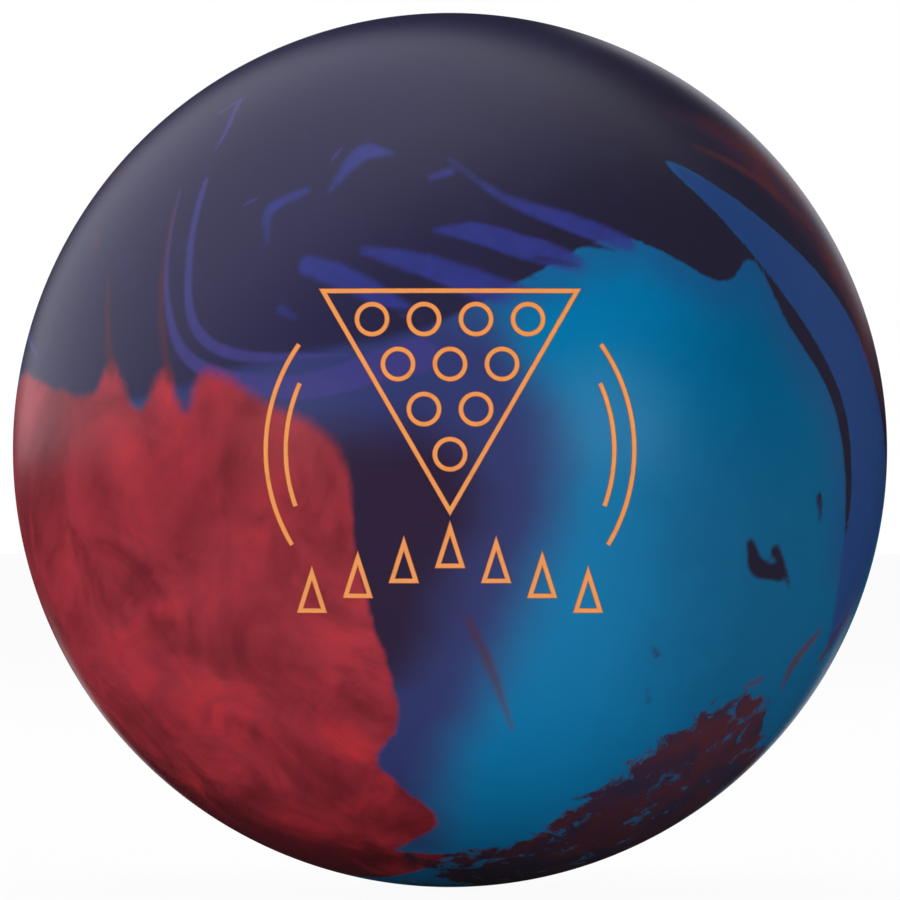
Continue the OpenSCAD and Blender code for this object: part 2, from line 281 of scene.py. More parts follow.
COBALT_STROKES = [
    ([(0, 40), (8, 34), (18, 30), (26, 27)], (0.2, 1.1, 2.8, 2.2)),
    ([(-2, 29), (7, 28), (18, 24)], (0.6, 4.0, 2.2)),
    ([(-3, 25), (5, 21), (12, 19)], (1.0, 3.4, 2.6)),
    ([(-20, 24), (-14, 22), (-6, 18)], (2.4, 2.9, 1.6)),
    ([(-12, 26), (-4, 24), (4, 20)], (1.1, 2.8, 2.2)),
    ([(-10, 41), (-15, 41), (-19, 35)], (0.8, 2.3, 0.3)),
    ([(-23, 35), (-28, 32), (-27, 27)], (0.9, 1.4, 0.2)),
    ([(0, 38), (-3, 37)], (0.9, 0.7)),
    ([(-23, 18), (-21, 17)], (0.8, 0.6)),
    ([(118, 34), (150, 20), (182, 38)], (0.3, 2.4, 0.3)),
    ([(205, 44), (222, 28), (246, 30)], (0.3, 2.2, 0.3)),
    ([(100, 52), (112, 44), (128, 42)], (0.2, 1.5, 0.3)),
]
VIOLET_STROKES = [
    ([(-50, 52), (-46, 46), (-45, 42)], (0.7, 0.8, 0.2)),
    ([(-43, 37), (-40, 26), (-36, 16), (-28, 12), (-13, 12)], (0.8, 1.1, 1.4, 1.5, 0.3)),
    ([(-20, 40), (-19, 42)], (0.4, 0.3)),
    ([(-33, 33), (-31, 34)], (0.3, 0.3)),
    ([(190, 60), (214, 50), (238, 56)], (0.2, 1.2, 0.2)),
    ([(-72, 12), (-90, 17), (-110, 22)], (0.3, 1.5, 0.2)),
]
VIOLET_EDGE_STROKES = [
    ([(-53, 49), (-50, 52)], (0.3, 0.7)),
    ([(-48, 36), (-42, 20), (-35, 11), (-20, 8), (-4, 12)], (0.2, 1.0, 1.8, 3.0, 4.5)),
    ([(128, 12), (150, 7), (172, 16)], (0.2, 1.3, 0.2)),
]
RUST_STROKES = [
    ([(48, 43), (62, 37), (76, 25)], (0.3, 1.8, 0.6)),
    ([(58, 45), (66, 42), (74, 36)], (0.3, 1.3, 0.4)),
    ([(-47, 33), (-43, 20), (-39, 9)], (0.1, 0.8, 0.9)),
    ([(-56, 23), (-50, 10)], (0.2, 1.4)),
    ([(-65, 29), (-63, 27)], (0.5, 0.5)),
    ([(2, -21), (6, -29), (10, -38)], (0.2, 1.0, 0.1)),
    ([(62, -32), (62, -28), (66, -24)], (0.6, 2.2, 0.5)),
    ([(72, -28), (76, -21)], (1.8, 0.5)),
    ([(51, -32), (54, -31)], (0.4, 0.9)),
    ([(84, 22), (106, 14), (130, 28)], (0.3, 1.8, 0.2)),
    ([(-70, 40), (-94, 35), (-118, 30)], (0.2, 1.4, 0.2)),
    ([(96, -30), (124, -44), (160, -40)], (0.3, 1.8, 0.3)),
]
FIELD_LIMIT = 60.0      # fields are cut off at this distance, in millimetres
CURVE_STEP = 0.8        # spacing of an outline's samples, in millimetres


def on_ball(places):
    """Unit vectors of places on the ball."""
    lon, lat = np.radians(np.asarray(places, float)).T
    return np.stack([np.sin(lon) * np.cos(lat), -np.cos(lon) * np.cos(lat), np.sin(lat)], axis=1)


def smooth_curve(points, values, closed):
    """A Catmull-Rom curve on the ball through unit vectors, with a value carried along it."""
    rows = np.column_stack([points, values])
    if closed:
        rows = np.vstack([rows[-1], rows, rows[0], rows[1]])
    else:
        rows = np.vstack([2 * rows[0] - rows[1], rows, 2 * rows[-1] - rows[-2]])
    pieces = []
    for a, b, c, d in zip(rows, rows[1:], rows[2:], rows[3:]):
        steps = max(2, int(np.linalg.norm(c[:3] - b[:3]) * BALL_R / (CURVE_STEP * MM)))
        t = np.linspace(0, 1, steps, endpoint=False)[:, None]
        pieces.append(0.5 * (2 * b + (c - a) * t + (2 * a - 5 * b + 4 * c - d) * t**2
                             + (3 * b - a - 3 * c + d) * t**3))
    if not closed:
        pieces.append(rows[-2:-1])
    curve = np.vstack(pieces)
    return curve[:, :3] / np.linalg.norm(curve[:, :3], axis=1)[:, None], curve[:, 3]


def nearest(directions, curve):
    """For each direction, the index of the curve's nearest sample."""
    found = np.empty(len(directions), int)
    for start in range(0, len(directions), 20000):
        part = slice(start, start + 20000)
        found[part] = np.argmax(directions[part] @ curve.T, axis=1)
    return found


def outline_field(directions, places):
    """Signed distance in millimetres to a closed outline, positive inside."""
    curve, _ = smooth_curve(on_ball(places), np.zeros(len(places)), closed=True)
    following = np.roll(curve, -1, axis=0) - np.roll(curve, 1, axis=0)
    left = np.cross(curve, following)
    left /= np.linalg.norm(left, axis=1)[:, None]
    index = nearest(directions, curve)
    offset = directions - curve[index]
    side = np.sign(np.sum(offset * left[index], axis=1))
    return np.clip(side * np.linalg.norm(offset, axis=1) * BALL_R / MM, -FIELD_LIMIT, FIELD_LIMIT)


def stroke_field(directions, places, half_widths):
    """Millimetres inside a stroke's edge and to its middle line, signed by side, and its half width."""
    curve, width = smooth_curve(on_ball(places), np.asarray(half_widths, float), closed=False)
    index = nearest(directions, curve)
    following = np.gradient(curve, axis=0)
    following /= np.linalg.norm(following, axis=1)[:, None]
    left = np.cross(curve, following)
    offset = (directions - curve[index]) * BALL_R / MM
    apart = np.linalg.norm(offset, axis=1)
    past_an_end = (index == 0) | (index == len(curve) - 1)
    beyond = np.where(past_an_end, np.abs(np.sum(offset * following[index], axis=1)), 0)
    side = np.sum(offset * left[index], axis=1)
    return width[index] - apart, side, width[index] - beyond


def strokes_field(directions, strokes):
    """The three fields of whichever stroke is nearest."""
    inside, side, width = (np.zeros(len(directions)) for _ in range(3))
    inside -= FIELD_LIMIT
    for places, half_widths in strokes:
        found = stroke_field(directions, places, half_widths)
        closer = found[0] > inside
        for field, values in zip((inside, side, width), found):
            field[closer] = values[closer]
    return inside, side, width


def swirl_fields(directions):
    """The fields that the cover's material reads, each in millimetres."""
    outlines = {
        "dark_cap": DARK_CAP, "red_mass": RED_MASS, "maroon_band": MAROON_BAND, "plum_core": PLUM_CORE,
        "slate_zone": SLATE_ZONE,
        "blue_band": BLUE_BAND, "rust_limb": RUST_LIMB,
    }
    thin = {"violet": VIOLET_STROKES, "violet_edge": VIOLET_EDGE_STROKES, "rust": RUST_STROKES}
    fields = {name: outline_field(directions, places) for name, places in outlines.items()}
    for name, rows in {"dark_strokes": DARK_STROKES, "cobalt": COBALT_STROKES}.items():
        fields[name] = strokes_field(directions, rows)[0]
    for name, rows in thin.items():
        fields[name], fields[name + "_side"], fields[name + "_width"] = strokes_field(directions, rows)
    return fields


# ---- meshes -------------------------------------------------------------------------------------


def new_object(name, vertices, faces, smooth_angle=None):
    mesh = bpy.data.meshes.new(name)
    mesh.from_pydata([tuple(v) for v in vertices], [], [tuple(int(i) for i in f) for f in faces])
    mesh.validate()
    mesh.update()
    piece = bpy.data.objects.new(name, mesh)
    bpy.context.scene.collection.objects.link(piece)
    if smooth_angle is not None:
        shade_smooth(mesh, smooth_angle)
    return piece


def shade_smooth(mesh, angle):
    mesh.shade_smooth()
    mesh.set_sharp_from_angle(angle=math.radians(angle))


def recalculate(piece):
    """Merge doubles and turn every face outwards."""
    work = bmesh.new()
    work.from_mesh(piece.data)
    bmesh.ops.remove_doubles(work, verts=work.verts, dist=1e-7)
    bmesh.ops.recalc_face_normals(work, faces=work.faces)
    work.to_mesh(piece.data)
    work.free()
    return piece


def graded_sphere(name, radius, divisions, grading):
    """A sphere of squares from a cube, drawn together towards -Y by the grading."""
    step = np.linspace(-math.pi / 4, math.pi / 4, divisions + 1)
    u, v = np.meshgrid(np.tan(step), np.tan(step), indexing="ij")
    ones = np.ones_like(u)
    sides = [(u, v, ones), (v, u, -ones), (ones, u, v), (-ones, v, u), (v, ones, u), (u, -ones, v)]
    points, faces = [], []
    for number, side in enumerate(sides):
        points.append(np.stack(side, axis=-1).reshape(-1, 3))
        first = number * (divisions + 1) ** 2
        corner = first + (np.arange(divisions)[:, None] * (divisions + 1) + np.arange(divisions)).ravel()
        faces.append(np.stack([corner, corner + divisions + 1, corner + divisions + 2, corner + 1], axis=1))
    points = np.vstack(points)
    points /= np.linalg.norm(points, axis=1)[:, None]
    # a stereographic shrink keeps the squares square
    x, y, z = points.T
    near = np.maximum(1 - y, 1e-12)     # the far pole itself stays on the ball
    high = near * grading
    square = (1 + y) * near / high**2
    points = np.column_stack([2 * x / high, square - 1, 2 * z / high]) / (square + 1)[:, None]
    return recalculate(new_object(name, points * radius, np.vstack(faces)))


def rings_to_faces(rings, segments, closed_ring=True, closed_profile=False):
    """Squares between successive rings of points."""
    faces = []
    last = rings if closed_profile else rings - 1
    around = segments if closed_ring else segments - 1
    for ring in range(last):
        a, b = ring * segments, (ring + 1) % rings * segments
        for i in range(around):
            j = (i + 1) % segments
            faces.append((a + i, b + i, b + j, a + j))
    return faces


def hole_rings(hole, profile, segments):
    """A ring of points about a hole for each profile point, (radius, height, follows the ball)."""
    angle = np.linspace(0, 2 * math.pi, segments, endpoint=False)
    rings = []
    for radius, height, follows in profile:
        radii = np.full(segments, radius)
        heights = height + (hole.surface_height(radii, angle) if follows else 0.0)
        rings.append(hole.point(radii, angle, np.broadcast_to(heights, angle.shape)))
    return rings


def turned(name, hole, profile, segments, smooth_angle=40):
    """A closed ring turned about a hole."""
    faces = rings_to_faces(len(profile), segments, closed_profile=True)
    piece = recalculate(new_object(name, np.vstack(hole_rings(hole, profile, segments)), faces))
    shade_smooth(piece.data, smooth_angle)
    return piece


def bored_plug(name, hole, profile, segments, smooth_angle=40):
    """A solid turned about a hole, whose profile starts and ends on the axis."""
    points = hole_rings(hole, profile[1:-1], segments)
    rings = len(points)
    faces = rings_to_faces(rings, segments)
    ends = []
    for end, ring in ((profile[0], 0), (profile[-1], rings - 1)):
        lift = hole.surface_height(np.zeros(1), np.zeros(1))[0] if end[2] else 0.0
        ends.append(hole.mouth + (end[1] + lift) * hole.out)
        pole = rings * segments + len(ends) - 1
        faces += [(pole, ring * segments + i, ring * segments + (i + 1) % segments) for i in range(segments)]
    piece = recalculate(new_object(name, np.vstack(points + [np.array(ends)]), faces))
    shade_smooth(piece.data, smooth_angle)
    return piece


def rounded(points, radius, steps=5):
    """A profile with every marked corner rounded. Each point is (radius, height, follows, round it)."""
    out = []
    total = len(points)
    for i, (r, h, follows, soften) in enumerate(points):
        if not soften:
            out.append((r, h, follows))
            continue
        before, after = points[i - 1], points[(i + 1) % total]
        here = np.array([r, h])
        start = here + radius * unit(np.array(before[:2]) - here)
        end = here + radius * unit(np.array(after[:2]) - here)
        for t in np.linspace(0, 1, steps):
            x, y = (1 - t) ** 2 * start + 2 * t * (1 - t) * here + t**2 * end
            out.append((x, y, follows))
    return out


# ---- emblem lines, drawn flat: x to the right, z up, y into the ball ---------------------------------


def inset_loop(corners, distance):
    """A closed outline moved inwards by a distance, with its corners kept sharp."""
    corners = np.asarray(corners, float)
    out = []
    for before, here, after in zip(np.roll(corners, 1, axis=0), corners, np.roll(corners, -1, axis=0)):
        back, ahead = unit(before - here), unit(after - here)
        middle = unit(back + ahead)
        turn = abs(middle[0] * ahead[1] - middle[1] * ahead[0])
        out.append(here + middle * distance / turn)
    return np.array(out)


def divided_loop(corners, steps):
    """A closed outline with each side cut into equal steps."""
    ahead = np.roll(corners, -1, axis=0)
    t = np.linspace(0, 1, steps, endpoint=False)[:, None]
    return np.vstack([a + (b - a) * t for a, b in zip(corners, ahead)])


def line_section(emblem, cutter):
    """An enamel line's or groove cutter's section: (how far across, how deep) points, once around."""
    half = emblem.line_width / 2
    if cutter:
        lip = emblem.chamfer
        return [(-half, emblem.groove_depth), (-half, lip), (-half - lip, 0.0), (-half - lip - MM, -MM),
                (half + lip + MM, -MM), (half + lip, 0.0), (half, lip), (half, emblem.groove_depth)]
    rim = emblem.recess - emblem.meniscus
    shoulder, shoulder_depth = 0.62 * half, emblem.recess * 0.85
    return [(-half, emblem.groove_depth), (-half, rim), (-shoulder, shoulder_depth), (0.0, emblem.recess),
            (shoulder, shoulder_depth), (half, rim), (half, emblem.groove_depth)]


def band(name, outline_at, section, steps, closed):
    """A line along a path, from a function that gives the path's points at a distance across it."""
    rings = []
    for across, depth in section:
        path = outline_at(across)
        rings.append(np.column_stack([path[:, 0], np.full(len(path), depth), path[:, 1]]))
    faces = rings_to_faces(len(section), steps, closed_ring=closed, closed_profile=True)
    if not closed:
        ends = np.arange(len(section)) * steps
        faces += [tuple(ends), tuple(ends[::-1] + steps - 1)]
    piece = recalculate(new_object(name, np.vstack(rings), faces))
    keep_across(piece, [across for across, _ in section], steps)
    return piece


def keep_across(piece, across, steps):
    """Stores how far each vertex lies across its line, as a share of the widest."""
    values = np.repeat(np.abs(across) / max(np.abs(across)), steps)
    attribute = piece.data.attributes.new("across", "FLOAT", "POINT")
    if len(values) != len(piece.data.vertices):
        raise RuntimeError(f"{piece.name} lost points when it was closed")
    attribute.data.foreach_set("value", values.astype(np.float32))


def ring_band(name, radius, section, steps=48):
    angle = np.linspace(0, 2 * math.pi, steps, endpoint=False)
    circle = np.column_stack([np.cos(angle), np.sin(angle)])
    return band(name, lambda across: circle * (radius + across), section, steps, closed=True)


def corner_band(name, corners, section, side_steps):
    return band(
        name, lambda across: divided_loop(inset_loop(corners, -across), side_steps), section,
        side_steps * len(corners), closed=True,
    )


def arc_band(name, radius, start, end, section, steps=36):
    angle = np.radians(np.linspace(start, end, steps))
    arc = np.column_stack([np.cos(angle), np.sin(angle)])
    return band(name, lambda across: arc * (radius + across), section, steps, closed=False)


# ---- node trees ---------------------------------------------------------------------------------


class Value:
    """A shader or geometry socket with arithmetic. Plain numbers may stand on either side."""

    def __init__(self, tree, socket):
        self.tree = tree
        self.socket = socket

    def math(self, operation, *others):
        return self.tree.node("Math", self, *others, operation=operation)

    def __add__(self, other):
        return self.math("ADD", other)

    __radd__ = __add__

    def __sub__(self, other):
        return self.math("SUBTRACT", other)

    def __rsub__(self, other):
        return self.tree.node("Math", other, self, operation="SUBTRACT")

    def __mul__(self, other):
        return self.math("MULTIPLY", other)

    __rmul__ = __mul__

    def __truediv__(self, other):
        return self.math("DIVIDE", other)

    def __neg__(self):
        return self.math("MULTIPLY", -1.0)


class Tree:
    """Builds a node tree. Every node comes from node(), with its settings first and its inputs after."""

    def __init__(self, tree, prefix):
        self.tree = tree
        self.prefix = prefix

    def node(self, kind, *inputs, out=0, **settings):
        """A node of a kind. Inputs are given in order or, as a dict, by socket name or index."""
        made = self.tree.nodes.new(self.prefix + kind)
        for key, value in settings.items():
            setattr(made, key, value)
        for number, item in enumerate(inputs):
            pairs = item.items() if isinstance(item, dict) else [(number, item)]
            for key, value in pairs:
                self.feed(made.inputs[key], value)
        return Value(self, made.outputs[out])

    def feed(self, socket, value):
        if isinstance(value, Value):
            self.tree.links.new(value.socket, socket)
        elif hasattr(value, "__len__") and socket.type == "RGBA" and len(value) == 3:
            socket.default_value = (*value, 1.0)
        else:
            socket.default_value = value


class Shading(Tree):
    """A shader tree with the few nodes that the materials and the world share."""

    def step(self, value, low, high):
        """0 below low, 1 above high and smooth between."""
        sockets = {"Value": value, "From Min": low, "From Max": high}
        return self.node("MapRange", sockets, interpolation_type="SMOOTHSTEP")

    def mix(self, factor, first, second):
        sockets = {0: factor, 6: first, 7: second}
        return self.node("Mix", sockets, data_type="RGBA", out=2)


class Shader(Shading):
    """A material's node tree around one Principled shader."""

    def __init__(self, name):
        self.material = bpy.data.materials.new(name)
        self.material.use_nodes = True
        super().__init__(self.material.node_tree, "ShaderNode")
        self.principled = self.tree.nodes["Principled BSDF"]
        self.place = self.node("TexCoord", out="Object")

    def set(self, **inputs):
        for name, value in inputs.items():
            self.feed(self.principled.inputs[name.replace("_", " ")], value)
        return self.material

    def attribute(self, name):
        return self.node("Attribute", attribute_name=name, attribute_type="GEOMETRY", out="Fac")

    def stroke(self, name):
        """A stroke's depth inside its edge. The signed side keeps thin strokes whole between vertices."""
        ridge = self.attribute(name + "_width") - self.attribute(name + "_side").math("ABSOLUTE")
        inside = self.attribute(name)
        return ridge.math("MINIMUM", inside + 0.8).math("MAXIMUM", inside)

    def axis(self, letter):
        split = self.node("SeparateXYZ", self.place)
        return Value(self, split.socket.node.outputs[letter])

    def noise(self, scale, detail=3.0, roughness=0.5, distortion=0.0, at=None):
        """A noise between 0 and 1 whose features repeat about `scale` times a metre."""
        sockets = {"Vector": at or self.place, "Scale": scale, "Detail": detail, "Roughness": roughness,
                   "Distortion": distortion}
        return self.node("TexNoise", sockets, out=0)

    def ripple(self, scale, amount, **noise):
        """A noise about 0, at most `amount` each way."""
        return (self.noise(scale, **noise) - 0.5) * (2 * amount)

    def bump(self, height, strength, distance):
        sockets = {"Height": height, "Strength": strength, "Distance": distance}
        return self.node("Bump", sockets)


class Geometry(Tree):
    """A Geometry Nodes tree with named inputs."""

    def __init__(self, name):
        group = bpy.data.node_groups.new(name, "GeometryNodeTree")
        super().__init__(group, "")
        group.interface.new_socket("Geometry", in_out="INPUT", socket_type="NodeSocketGeometry")
        group.interface.new_socket("Geometry", in_out="OUTPUT", socket_type="NodeSocketGeometry")
        self.entry = group.nodes.new("NodeGroupInput")
        self.defaults = {}

    def given(self, name):
        return Value(self, self.entry.outputs[name])

    def size(self, name, default):
        """A named number input."""
        whole = isinstance(default, int)
        kind = "NodeSocketInt" if whole else "NodeSocketFloat"
        socket = self.tree.interface.new_socket(name, in_out="INPUT", socket_type=kind)
        socket.default_value = default
        self.defaults[socket.identifier] = default
        return self.given(name)

    def math(self, operation, *values):
        return self.node("ShaderNodeMath", *values, operation=operation)

    def node(self, kind, *inputs, out=0, **settings):
        kind = "ShaderNodeMath" if kind == "Math" else kind
        return super().node(kind, *inputs, out=out, **settings)

    def vector(self, x, y, z):
        return self.node("ShaderNodeCombineXYZ", {"X": x, "Y": y, "Z": z})

    def finish(self, geometry, material):
        whole = self.node("GeometryNodeRealizeInstances", geometry)
        painted = self.node("GeometryNodeSetMaterial", {"Geometry": whole, "Material": material})
        exit_node = self.tree.nodes.new("NodeGroupOutput")
        self.feed(exit_node.inputs[0], painted)
        return self.tree

    def apply(self, piece):
        """Runs the tree on a piece and keeps the result as its plain mesh."""
        modifier = piece.modifiers.new(self.tree.name, "NODES")
        modifier.node_group = self.tree
        for identifier, value in self.defaults.items():
            modifier[identifier] = value
        bpy.context.view_layer.update()
        evaluated = piece.evaluated_get(bpy.context.evaluated_depsgraph_get())
        made = bpy.data.meshes.new_from_object(evaluated)
        piece.modifiers.clear()
        piece.data = made
        return piece


def light_path(tree):
    """Whether a ray comes from the camera, and whether it is a reflection or passes through."""
    path = tree.node("LightPath").socket.node.outputs
    kinds = ("Camera", "Glossy", "Transmission")
    seen, glossy, through = (Value(tree, path[f"Is {kind} Ray"]) for kind in kinds)
    return seen, glossy.math("MAXIMUM", through)


# ---- materials ----------------------------------------------------------------------------------


def cover_material(cover):
    """Swirled resins under a satin polish."""
    shader = Shader("cover_resin")
    x, z = shader.axis("X") / MM, shader.axis("Z") / MM
    fine = shader.ripple(260, 1.0, detail=4.0, roughness=0.6)
    broad = shader.ripple(45, 1.0, detail=2.0)
    wisp = shader.ripple(110, 1.0, detail=5.0, roughness=0.62, distortion=0.6)
    soft = shader.noise(16, detail=4.0, roughness=0.6, distortion=1.2)

    # teal, deeper to the right
    depth = shader.step(x + broad * 8 - z * 0.1 + soft * 20, 40.0, 88.0)
    shade = shader.mix(depth * 0.9 + shader.ripple(120, 0.08, detail=4.0), cover.teal, cover.teal_deep)

    # blue between the teal and the dark at the right
    blue = shader.attribute("blue_band") + wisp * 1.5
    shade = shader.mix(shader.step(blue, -1.5, 1.5) * 0.9, shade, cover.blue)

    near = shader.attribute("dark_cap") + broad * 5
    shade = shader.mix(shader.step(near, -16.0, -1.0) * 0.45, shade, cover.blue)

    # the blend between teal, slate and plum
    slate = shader.attribute("slate_zone") + broad * 6
    shade = shader.mix(shader.step(slate, -10.0, 13.0), shade, cover.slate)
    plum = shader.attribute("plum_core") + broad * 7
    shade = shader.mix(shader.step(plum, -9.0, 10.0), shade, cover.plum)

    # dark resin, more violet to the left
    dark_shade = shader.mix(shader.step(soft * 60 - x + z * 0.3, -10.0, 90.0), cover.charcoal, cover.indigo)
    dark_shade = shader.mix(shader.step(wisp, 0.1, 0.6) * 0.12, dark_shade, cover.violet)
    softness = shader.step(x, -25.0, 20.0)
    dark = shader.attribute("dark_cap") + fine * 0.35 + wisp * (1.6 - 1.3 * softness)
    dark_mask = shader.step(dark, softness * 1.6 - 2.2, 2.2 - softness * 1.6)
    shade = shader.mix(dark_mask, shade, dark_shade)

    # clear blue and violet streaks, and dark wisps over them
    cobalt = shader.attribute("cobalt") + wisp * 0.7
    fade = shader.step(near, -8.0, 1.0)
    shade = shader.mix(shader.step(cobalt, -1.2, 1.1) * fade * (0.92 + 0.3 * fine), shade, cover.cobalt)
    violet = shader.stroke("violet").math("MAXIMUM", shader.stroke("violet_edge")) + wisp * 0.3
    shade = shader.mix(shader.step(violet, -0.6, 0.8) * (0.85 + 0.3 * fine), shade, cover.violet)
    strokes = shader.attribute("dark_strokes") + wisp * 0.9 + fine * 0.4
    shade = shader.mix(shader.step(strokes, -0.9, 0.7), shade, dark_shade)

    # red pearl, in clouds drawn out by the pour, deeper towards the bottom
    drift = shader.noise(14, detail=3.0, roughness=0.5, distortion=1.0)
    swirl = shader.noise(26, detail=6.0, roughness=0.6, distortion=1.6)
    cloud = shader.noise(42, detail=5.0, roughness=0.58, distortion=1.1)
    lift = shader.step(z, -112.0, -12.0)
    pearl = shader.mix(lift * 0.7 + (drift + swirl - 1.0) * 2.2 + 0.3, cover.crimson_deep, cover.crimson)
    glow = shader.step(cloud, 0.42, 0.76) * shader.step(drift, 0.34, 0.6)
    pearl = shader.mix(glow * 0.9, pearl, cover.crimson_bright)
    pearl = shader.mix(shader.step(cloud, 0.5, 0.24) * 0.5, pearl, cover.crimson_deep)
    red = shader.attribute("red_mass") + wisp * 1.3 + fine * 0.5
    feather = shader.step(z + x * 0.3, -22.0, 4.0) * 1.6 + 1.0
    shade = shader.mix(shader.step(red / feather, -1.0, 1.1), shade, pearl)

    # maroon, ragged and with holes
    worked = shader.mix(shader.step(cloud, 0.4, 0.62), cover.maroon, cover.maroon_dark)
    speck = shader.ripple(170, 1.0, detail=3.0, roughness=0.7, distortion=0.8)
    maroon = shader.attribute("maroon_band").math("MINIMUM", 3.2)
    maroon = maroon + wisp * 9.5 + speck * 5.5 + broad * 2.0 - 0.2
    shade = shader.mix(shader.step(maroon, -1.6, 2.0), shade, worked)
    limb = shader.attribute("rust_limb") + wisp * 1.5 + broad * 5
    rusty = shader.mix(shader.step(broad + wisp * 0.25, -0.3, 0.35), cover.maroon_dark, cover.rust)
    shade = shader.mix(shader.step(limb, -6.0, 5.0) * 0.85, shade, rusty)
    rust = shader.stroke("rust") + wisp * 1.2
    shade = shader.mix(shader.step(rust, -1.4, 1.3) * 0.65, shade, cover.rust)

    haze = shader.noise(9, detail=5.0, roughness=0.7, distortion=0.8)
    grain = shader.noise(2600, detail=2.0)
    roughness = 0.2 + 0.08 * haze + 0.03 * grain
    return shader.set(
        Base_Color=shade,
        Roughness=roughness,
        Normal=shader.bump(grain, 0.05, 0.00002),
        IOR=1.54,
    )


def enamel_material(emblem):
    """Poured enamel, darker along its edges where it thins out and where painted shade stands in for the
    groove's walls.
    """
    shader = Shader("emblem_enamel")
    across = shader.attribute("across")
    flow = shader.noise(420, detail=3.0, distortion=0.5)
    # painted shade: the darker edge stands in for the shade of the groove's walls as well as for the thinner
    # enamel
    edge = shader.step(across + (flow - 0.5) * 0.3, 0.62, 1.0)
    shade = shader.mix(edge, emblem.enamel, emblem.enamel_edge)
    # darker patches at random in the edge colour, the enamel's own uneven tone
    shade = shader.mix(shader.step(flow, 0.55, 0.8) * 0.2, shade, emblem.enamel_edge)
    return shader.set(
        Base_Color=shade,
        Roughness=0.28 + 0.12 * flow,
        Normal=shader.bump(flow, 0.15, 0.0001),
        IOR=1.5,
    )


def moulded_material(name, shade, fleck, roughness, grain_scale, bump_depth, share=0.35):
    """A moulded plastic or resin: a little colour variation, fine grain and uneven gloss."""
    shader = Shader(name)
    cloud = shader.noise(60, detail=4.0, roughness=0.6, distortion=0.7)
    grain = shader.noise(grain_scale, detail=3.0, roughness=0.6)
    mixed = shader.mix(shader.step(cloud, 0.3, 0.75) * share, shade, fleck)
    mixed = shader.mix(shader.step(grain, 0.58, 0.75) * share, mixed, fleck)
    return shader.set(
        Base_Color=mixed,
        Roughness=roughness + 0.15 * (grain - 0.5),
        Normal=shader.bump(grain, 0.4, bump_depth),
    )


def turned_material(name, shade, hole, pitch, roughness):
    """A turned plastic: faint tool rings about the hole's axis."""
    shader = Shader(name)
    start = shader.node("VectorMath", shader.place, tuple(-hole.mouth), operation="ADD")
    along = shader.node("VectorMath", start, tuple(hole.out), operation="DOT_PRODUCT", out="Value")
    rings = shader.node("Math", along * (2 * math.pi / pitch), operation="SINE")
    worn = shader.noise(180, detail=4.0, roughness=0.65)
    lighter = tuple(min(1.0, part * 1.5 + 0.02) for part in shade)
    mixed = shader.mix(shader.step(worn, 0.45, 0.75) * 0.4, shade, lighter)
    return shader.set(
        Base_Color=mixed,
        Roughness=roughness + 0.12 * (worn - 0.5) + 0.02 * rings,
        Normal=shader.bump(rings * 0.5 + worn, 0.3, 0.00003),
    )


# ---- operators ----------------------------------------------------------------------------------


def paint(piece, material):
    piece.data.materials.clear()
    piece.data.materials.append(material)


def paint_node(node, material):
    slots = frame["nodes"][node].material_slots
    if not slots:
        frame["nodes"][node].data.materials.append(material)
    for slot in slots:
        slot.material = material


def place_piece(piece, body, slot, *nodes):
    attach(piece, body)
    if nodes:
        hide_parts(*nodes)


def cut(piece, cutters):
    """Takes cutters out of a piece and deletes them."""
    for cutter in cutters:
        modifier = piece.modifiers.new("cut", "BOOLEAN")
        modifier.operation = "DIFFERENCE"
        modifier.solver = "MANIFOLD"
        modifier.object = cutter
    bpy.context.view_layer.update()
    evaluated = piece.evaluated_get(bpy.context.evaluated_depsgraph_get())
    result = bpy.data.meshes.new_from_object(evaluated)
    piece.modifiers.clear()
    piece.data = result
    for cutter in cutters:
        bpy.data.objects.remove(cutter)


def drill(name, hole, radius, depth, chamfer, segments):
    """A cutter for a round hole with a softened mouth."""
    past = 4 * MM
    profile = [
        (0.0, -depth, False), (radius, -depth, False), (radius, -chamfer, True),
        (radius + chamfer, 0.0, True), (radius + chamfer + past, past, True), (0.0, past, True),
    ]
    return bored_plug(name, hole, profile, segments)


def radial_normals(mesh):
    """Makes the outside shade as a true sphere and leaves the walls as they are."""
    points = vertex_array(mesh)
    distance = np.linalg.norm(points, axis=1)
    outside = np.abs(distance - BALL_R) < 0.02 * MM
    shade_smooth(mesh, 30)
    normals = np.zeros(len(mesh.loops) * 3, np.float32)
    mesh.corner_normals.foreach_get("vector", normals)
    normals = normals.reshape(-1, 3)
    owner = np.zeros(len(mesh.loops), np.int32)
    mesh.loops.foreach_get("vertex_index", owner)
    sizes = np.zeros(len(mesh.polygons), np.int32)
    mesh.polygons.foreach_get("loop_total", sizes)
    face_of = np.repeat(np.arange(len(sizes)), sizes)
    whole = np.ones(len(sizes), bool)
    np.logical_and.at(whole, face_of, outside[owner])
    on_face = whole[face_of]
    normals[on_face] = (points / distance[:, None])[owner[on_face]]
    mesh.normals_split_custom_set([tuple(n) for n in normals.astype(float)])


def deck_numbers(emblem):
    """The emblem's levels: row step, head spot, frame's bottom, top and half width."""
    row_step = emblem.spot_pitch * math.sin(math.radians(60))
    head = -emblem.head_spot_height
    bottom = head - 2 * emblem.frame_margin
    top = head + 3 * row_step + emblem.frame_margin
    return row_step, head, bottom, top, (top - bottom) * math.tan(math.radians(30))


ARC_TILT, ARC_HALF, ARC_INNER_HALF = 2.0, 33.0, 22.0     # degrees
ARC_STEP = 4             # the inner arc lies this many line widths inside the outer
ARROW_COUNT = 7
SPOT_ROWS = 4


